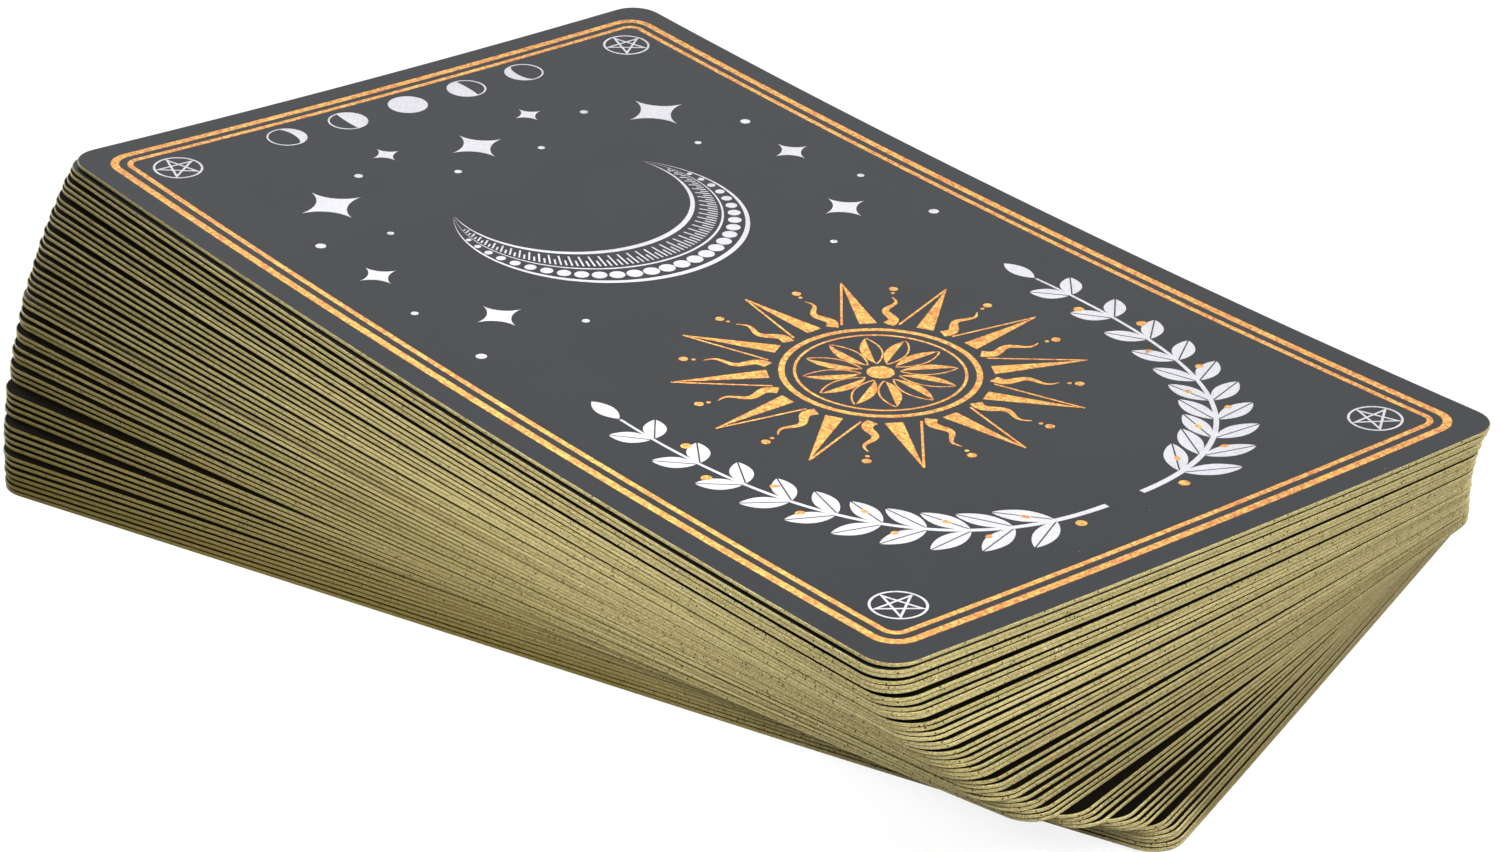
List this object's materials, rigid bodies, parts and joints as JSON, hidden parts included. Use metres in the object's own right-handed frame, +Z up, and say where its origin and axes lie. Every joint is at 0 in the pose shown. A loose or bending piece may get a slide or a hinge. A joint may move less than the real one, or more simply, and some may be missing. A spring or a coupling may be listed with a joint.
{
  "type": "oracle card deck",
  "caption": "Loose stack of rectangular round-cornered cards with dark faces and gilded edges, twisted into a spiral; it turns square, cuts and deals.",
  "frame": {"origin": "centre of the bottom card's underside, where the deck rests on a table", "axes": "+Z up through the stack, +Y along the bottom card to its head, +X across the bottom card to its right-hand edge"},
  "size_m": [0.1076, 0.1361, 0.0226],
  "materials": {
    "gilt_card": "satin gilded edges on matte black card",
    "printed_face": "matte black card, printed in orange and silver"
  },
  "bodies": {
    "bottom_card": {"bottom_card": "gilt_card"},
    "card_02": {"card_02": "gilt_card"},
    "card_03": {"card_03": "gilt_card"},
    "card_04": {"card_04": "gilt_card"},
    "card_05": {"card_05": "gilt_card"},
    "card_06": {"card_06": "gilt_card"},
    "card_07": {"card_07": "gilt_card"},
    "card_08": {"card_08": "gilt_card"},
    "card_09": {"card_09": "gilt_card"},
    "card_10": {"card_10": "gilt_card"},
    "card_11": {"card_11": "gilt_card"},
    "card_12": {"card_12": "gilt_card"},
    "card_13": {"card_13": "gilt_card"},
    "card_14": {"card_14": "gilt_card"},
    "card_15": {"card_15": "gilt_card"},
    "card_16": {"card_16": "gilt_card"},
    "card_17": {"card_17": "gilt_card"},
    "card_18": {"card_18": "gilt_card"},
    "card_19": {"card_19": "gilt_card"},
    "card_20": {"card_20": "gilt_card"},
    "card_21": {"card_21": "gilt_card"},
    "card_22": {"card_22": "gilt_card"},
    "card_23": {"card_23": "gilt_card"},
    "card_24": {"card_24": "gilt_card"},
    "card_25": {"card_25": "gilt_card"},
    "card_26": {"card_26": "gilt_card"},
    "card_27": {"card_27": "gilt_card"},
    "card_28": {"card_28": "gilt_card"},
    "card_29": {"card_29": "gilt_card"},
    "card_30": {"card_30": "gilt_card"},
    "card_31": {"card_31": "gilt_card"},
    "card_32": {"card_32": "gilt_card"},
    "card_33": {"card_33": "gilt_card"},
    "card_34": {"card_34": "gilt_card"},
    "card_35": {"card_35": "gilt_card"},
    "card_36": {"card_36": "gilt_card"},
    "card_37": {"card_37": "gilt_card"},
    "card_38": {"card_38": "gilt_card"},
    "card_39": {"card_39": "gilt_card"},
    "card_40": {"card_40": "gilt_card"},
    "card_41": {"card_41": "gilt_card"},
    "card_42": {"card_42": "gilt_card"},
    "card_43": {"card_43": "gilt_card"},
    "card_44": {"card_44": "gilt_card"},
    "card_45": {"card_45": "gilt_card"},
    "card_46": {"card_46": "gilt_card"},
    "card_47": {"card_47": "gilt_card"},
    "card_48": {"card_48": "gilt_card"},
    "card_49": {"card_49": "gilt_card"},
    "top_card": {"top_card": "printed_face"}
  },
  "joints": [
    {"name": "card_02_turn", "type": "hinge", "parent": "bottom_card", "child": "card_02", "pos_m": [-0.00008, 0.02078, 0], "axis": [0, 0, 1], "range_deg": [-0.138, 0.044]},
    {"name": "card_03_turn", "type": "hinge", "parent": "bottom_card", "child": "card_03", "pos_m": [-0.00019, 0.02049, 0], "axis": [0, 0, 1], "range_deg": [-0.753, 0.237]},
    {"name": "card_04_turn", "type": "hinge", "parent": "bottom_card", "child": "card_04", "pos_m": [-0.00026, 0.0203, 0], "axis": [0, 0, 1], "range_deg": [-1.4, 0.44]},
    {"name": "card_05_turn", "type": "hinge", "parent": "bottom_card", "child": "card_05", "pos_m": [-0.00032, 0.02012, 0], "axis": [0, 0, 1], "range_deg": [-2.17, 0.68]},
    {"name": "card_06_turn", "type": "hinge", "parent": "bottom_card", "child": "card_06", "pos_m": [-0.00043, 0.01983, 0], "axis": [0, 0, 1], "range_deg": [-3.75, 1.18]},
    {"name": "card_07_turn", "type": "hinge", "parent": "bottom_card", "child": "card_07", "pos_m": [-0.00049, 0.01967, 0], "axis": [0, 0, 1], "range_deg": [-4.8, 1.51]},
    {"name": "card_08_turn", "type": "hinge", "parent": "bottom_card", "child": "card_08", "pos_m": [-0.00066, 0.0192, 0], "axis": [0, 0, 1], "range_deg": [-8.51, 2.67]},
    {"name": "card_09_turn", "type": "hinge", "parent": "bottom_card", "child": "card_09", "pos_m": [-0.00072, 0.01904, 0], "axis": [0, 0, 1], "range_deg": [-9.99, 3.14]},
    {"name": "card_10_turn", "type": "hinge", "parent": "bottom_card", "child": "card_10", "pos_m": [-0.00078, 0.01889, 0], "axis": [0, 0, 1], "range_deg": [-11.4, 3.58]},
    {"name": "card_11_turn", "type": "hinge", "parent": "bottom_card", "child": "card_11", "pos_m": [-0.00083, 0.01876, 0], "axis": [0, 0, 1], "range_deg": [-12.72, 3.99]},
    {"name": "card_12_turn", "type": "hinge", "parent": "bottom_card", "child": "card_12", "pos_m": [-0.00104, 0.01817, 0], "axis": [0, 0, 1], "range_deg": [-19.08, 5.99]},
    {"name": "card_13_turn", "type": "hinge", "parent": "bottom_card", "child": "card_13", "pos_m": [-0.00109, 0.01803, 0], "axis": [0, 0, 1], "range_deg": [-20.62, 6.47]},
    {"name": "card_14_turn", "type": "hinge", "parent": "bottom_card", "child": "card_14", "pos_m": [-0.00114, 0.01791, 0], "axis": [0, 0, 1], "range_deg": [-21.99, 6.9]},
    {"name": "card_15_turn", "type": "hinge", "parent": "bottom_card", "child": "card_15", "pos_m": [-0.00118, 0.01781, 0], "axis": [0, 0, 1], "range_deg": [-23.18, 7.28]},
    {"name": "card_16_turn", "type": "hinge", "parent": "bottom_card", "child": "card_16", "pos_m": [-0.00138, 0.01725, 0], "axis": [0, 0, 1], "range_deg": [-29.79, 9.35]},
    {"name": "card_17_turn", "type": "hinge", "parent": "bottom_card", "child": "card_17", "pos_m": [-0.00142, 0.01716, 0], "axis": [0, 0, 1], "range_deg": [-30.87, 9.69]},
    {"name": "card_18_turn", "type": "hinge", "parent": "bottom_card", "child": "card_18", "pos_m": [-0.00144, 0.01708, 0], "axis": [0, 0, 1], "range_deg": [-31.36, 9.84]},
    {"name": "card_19_turn", "type": "hinge", "parent": "bottom_card", "child": "card_19", "pos_m": [-0.00161, 0.01664, 0], "axis": [0, 0, 1], "range_deg": [-34.09, 10.7]},
    {"name": "card_20_turn", "type": "hinge", "parent": "bottom_card", "child": "card_20", "pos_m": [-0.00163, 0.01658, 0], "axis": [0, 0, 1], "range_deg": [-34.46, 10.82]},
    {"name": "card_21_turn", "type": "hinge", "parent": "bottom_card", "child": "card_21", "pos_m": [-0.00172, 0.01633, 0], "axis": [0, 0, 1], "range_deg": [-35.98, 11.29]},
    {"name": "card_22_turn", "type": "hinge", "parent": "bottom_card", "child": "card_22", "pos_m": [-0.0019, 0.01585, 0], "axis": [0, 0, 1], "range_deg": [-38.78, 12.17]},
    {"name": "card_23_turn", "type": "hinge", "parent": "bottom_card", "child": "card_23", "pos_m": [-0.00191, 0.01581, 0], "axis": [0, 0, 1], "range_deg": [-38.97, 12.23]},
    {"name": "card_24_turn", "type": "hinge", "parent": "bottom_card", "child": "card_24", "pos_m": [-0.0021, 0.0153, 0], "axis": [0, 0, 1], "range_deg": [-41.81, 13.12]},
    {"name": "card_25_turn", "type": "hinge", "parent": "bottom_card", "child": "card_25", "pos_m": [-0.0021, 0.01529, 0], "axis": [0, 0, 1], "range_deg": [-41.89, 13.15]},
    {"name": "card_26_turn", "type": "hinge", "parent": "bottom_card", "child": "card_26", "pos_m": [-0.0022, 0.01502, 0], "axis": [0, 0, 1], "range_deg": [-43.31, 13.6]},
    {"name": "card_27_turn", "type": "hinge", "parent": "bottom_card", "child": "card_27", "pos_m": [-0.0025, 0.0142, 0], "axis": [0, 0, 1], "range_deg": [-47.47, 14.9]},
    {"name": "deck_twist", "type": "hinge", "parent": "bottom_card", "child": "card_28", "pos_m": [-0.0025, 0.0142, 0], "axis": [0, 0, 1], "range_deg": [-47.47, 14.9]},
    {"name": "cut_lift", "type": "slide", "parent": "card_28", "child": "card_29", "axis": [0, 0, 1], "range_m": [0, 0.05]},
    {"name": "card_30_turn", "type": "hinge", "parent": "card_29", "child": "card_30", "pos_m": [-0.00779, 0.00412, 0], "axis": [0, 0, 1], "range_deg": [-2.66, 0.84]},
    {"name": "card_31_turn", "type": "hinge", "parent": "card_29", "child": "card_31", "pos_m": [-0.00779, 0.00412, 0], "axis": [0, 0, 1], "range_deg": [-2.66, 0.84]},
    {"name": "card_32_turn", "type": "hinge", "parent": "card_29", "child": "card_32", "pos_m": [-0.00802, 0.00368, 0], "axis": [0, 0, 1], "range_deg": [-3.95, 1.24]},
    {"name": "card_33_turn", "type": "hinge", "parent": "card_29", "child": "card_33", "pos_m": [-0.00826, 0.00324, 0], "axis": [0, 0, 1], "range_deg": [-5.22, 1.64]},
    {"name": "card_34_turn", "type": "hinge", "parent": "card_29", "child": "card_34", "pos_m": [-0.00875, 0.0023, 0], "axis": [0, 0, 1], "range_deg": [-7.68, 2.41]},
    {"name": "card_35_turn", "type": "hinge", "parent": "card_29", "child": "card_35", "pos_m": [-0.00875, 0.0023, 0], "axis": [0, 0, 1], "range_deg": [-7.68, 2.41]},
    {"name": "card_36_turn", "type": "hinge", "parent": "card_29", "child": "card_36", "pos_m": [-0.00928, 0.00129, 0], "axis": [0, 0, 1], "range_deg": [-10.03, 3.15]},
    {"name": "card_37_turn", "type": "hinge", "parent": "card_29", "child": "card_37", "pos_m": [-0.00928, 0.00129, 0], "axis": [0, 0, 1], "range_deg": [-10.03, 3.15]},
    {"name": "card_38_turn", "type": "hinge", "parent": "card_29", "child": "card_38", "pos_m": [-0.00985, 0.00019, 0], "axis": [0, 0, 1], "range_deg": [-12.25, 3.85]},
    {"name": "card_39_turn", "type": "hinge", "parent": "card_29", "child": "card_39", "pos_m": [-0.00985, 0.00019, 0], "axis": [0, 0, 1], "range_deg": [-12.25, 3.85]},
    {"name": "card_40_turn", "type": "hinge", "parent": "card_29", "child": "card_40", "pos_m": [-0.01084, -0.00169, 0], "axis": [0, 0, 1], "range_deg": [-15.32, 4.81]},
    {"name": "card_41_turn", "type": "hinge", "parent": "card_29", "child": "card_41", "pos_m": [-0.01084, -0.00169, 0], "axis": [0, 0, 1], "range_deg": [-15.32, 4.81]},
    {"name": "card_42_turn", "type": "hinge", "parent": "card_29", "child": "card_42", "pos_m": [-0.01084, -0.00169, 0], "axis": [0, 0, 1], "range_deg": [-15.32, 4.81]},
    {"name": "card_43_turn", "type": "hinge", "parent": "card_29", "child": "card_43", "pos_m": [-0.01161, -0.00315, 0], "axis": [0, 0, 1], "range_deg": [-17.16, 5.39]},
    {"name": "card_44_turn", "type": "hinge", "parent": "card_29", "child": "card_44", "pos_m": [-0.01161, -0.00315, 0], "axis": [0, 0, 1], "range_deg": [-17.16, 5.39]},
    {"name": "card_45_turn", "type": "hinge", "parent": "card_29", "child": "card_45", "pos_m": [-0.01307, -0.00594, 0], "axis": [0, 0, 1], "range_deg": [-19.51, 6.13]},
    {"name": "card_46_turn", "type": "hinge", "parent": "card_29", "child": "card_46", "pos_m": [-0.01307, -0.00594, 0], "axis": [0, 0, 1], "range_deg": [-19.51, 6.13]},
    {"name": "card_47_turn", "type": "hinge", "parent": "card_29", "child": "card_47", "pos_m": [-0.01307, -0.00594, 0], "axis": [0, 0, 1], "range_deg": [-19.51, 6.13]},
    {"name": "card_48_turn", "type": "hinge", "parent": "card_29", "child": "card_48", "pos_m": [-0.01451, -0.0087, 0], "axis": [0, 0, 1], "range_deg": [-20.69, 6.5]},
    {"name": "card_49_turn", "type": "hinge", "parent": "card_29", "child": "card_49", "pos_m": [-0.01451, -0.0087, 0], "axis": [0, 0, 1], "range_deg": [-20.69, 6.5]},
    {"name": "top_card_deal", "type": "slide", "parent": "card_49", "child": "top_card", "axis": [-0.3662, -0.9296, 0.042], "range_m": [0, 0.13]}
  ],
  "couplings": [
    {"joint": "card_02_turn", "follows": "deck_twist", "ratio": 0.002884},
    {"joint": "card_03_turn", "follows": "deck_twist", "ratio": 0.015834},
    {"joint": "card_04_turn", "follows": "deck_twist", "ratio": 0.02952},
    {"joint": "card_05_turn", "follows": "deck_twist", "ratio": 0.045639},
    {"joint": "card_06_turn", "follows": "deck_twist", "ratio": 0.07893},
    {"joint": "card_07_turn", "follows": "deck_twist", "ratio": 0.10117},
    {"joint": "card_08_turn", "follows": "deck_twist", "ratio": 0.17915},
    {"joint": "card_09_turn", "follows": "deck_twist", "ratio": 0.21044},
    {"joint": "card_10_turn", "follows": "deck_twist", "ratio": 0.24024},
    {"joint": "card_11_turn", "follows": "deck_twist", "ratio": 0.26789},
    {"joint": "card_12_turn", "follows": "deck_twist", "ratio": 0.40186},
    {"joint": "card_13_turn", "follows": "deck_twist", "ratio": 0.43443},
    {"joint": "card_14_turn", "follows": "deck_twist", "ratio": 0.46331},
    {"joint": "card_15_turn", "follows": "deck_twist", "ratio": 0.48823},
    {"joint": "card_16_turn", "follows": "deck_twist", "ratio": 0.62749},
    {"joint": "card_17_turn", "follows": "deck_twist", "ratio": 0.65032},
    {"joint": "card_18_turn", "follows": "deck_twist", "ratio": 0.66064},
    {"joint": "card_19_turn", "follows": "deck_twist", "ratio": 0.71821},
    {"joint": "card_20_turn", "follows": "deck_twist", "ratio": 0.72593},
    {"joint": "card_21_turn", "follows": "deck_twist", "ratio": 0.75801},
    {"joint": "card_22_turn", "follows": "deck_twist", "ratio": 0.81701},
    {"joint": "card_23_turn", "follows": "deck_twist", "ratio": 0.82101},
    {"joint": "card_24_turn", "follows": "deck_twist", "ratio": 0.88074},
    {"joint": "card_25_turn", "follows": "deck_twist", "ratio": 0.8824},
    {"joint": "card_26_turn", "follows": "deck_twist", "ratio": 0.91247},
    {"joint": "card_27_turn", "follows": "deck_twist", "ratio": 1},
    {"joint": "card_30_turn", "follows": "deck_twist", "ratio": 0.055999},
    {"joint": "card_31_turn", "follows": "deck_twist", "ratio": 0.055999},
    {"joint": "card_32_turn", "follows": "deck_twist", "ratio": 0.083251},
    {"joint": "card_33_turn", "follows": "deck_twist", "ratio": 0.10997},
    {"joint": "card_34_turn", "follows": "deck_twist", "ratio": 0.16176},
    {"joint": "card_35_turn", "follows": "deck_twist", "ratio": 0.16176},
    {"joint": "card_36_turn", "follows": "deck_twist", "ratio": 0.21119},
    {"joint": "card_37_turn", "follows": "deck_twist", "ratio": 0.21119},
    {"joint": "card_38_turn", "follows": "deck_twist", "ratio": 0.25801},
    {"joint": "card_39_turn", "follows": "deck_twist", "ratio": 0.25801},
    {"joint": "card_40_turn", "follows": "deck_twist", "ratio": 0.32269},
    {"joint": "card_41_turn", "follows": "deck_twist", "ratio": 0.32269},
    {"joint": "card_42_turn", "follows": "deck_twist", "ratio": 0.32269},
    {"joint": "card_43_turn", "follows": "deck_twist", "ratio": 0.36145},
    {"joint": "card_44_turn", "follows": "deck_twist", "ratio": 0.36145},
    {"joint": "card_45_turn", "follows": "deck_twist", "ratio": 0.41107},
    {"joint": "card_46_turn", "follows": "deck_twist", "ratio": 0.41107},
    {"joint": "card_47_turn", "follows": "deck_twist", "ratio": 0.41107},
    {"joint": "card_48_turn", "follows": "deck_twist", "ratio": 0.43584},
    {"joint": "card_49_turn", "follows": "deck_twist", "ratio": 0.43584}
  ]
}
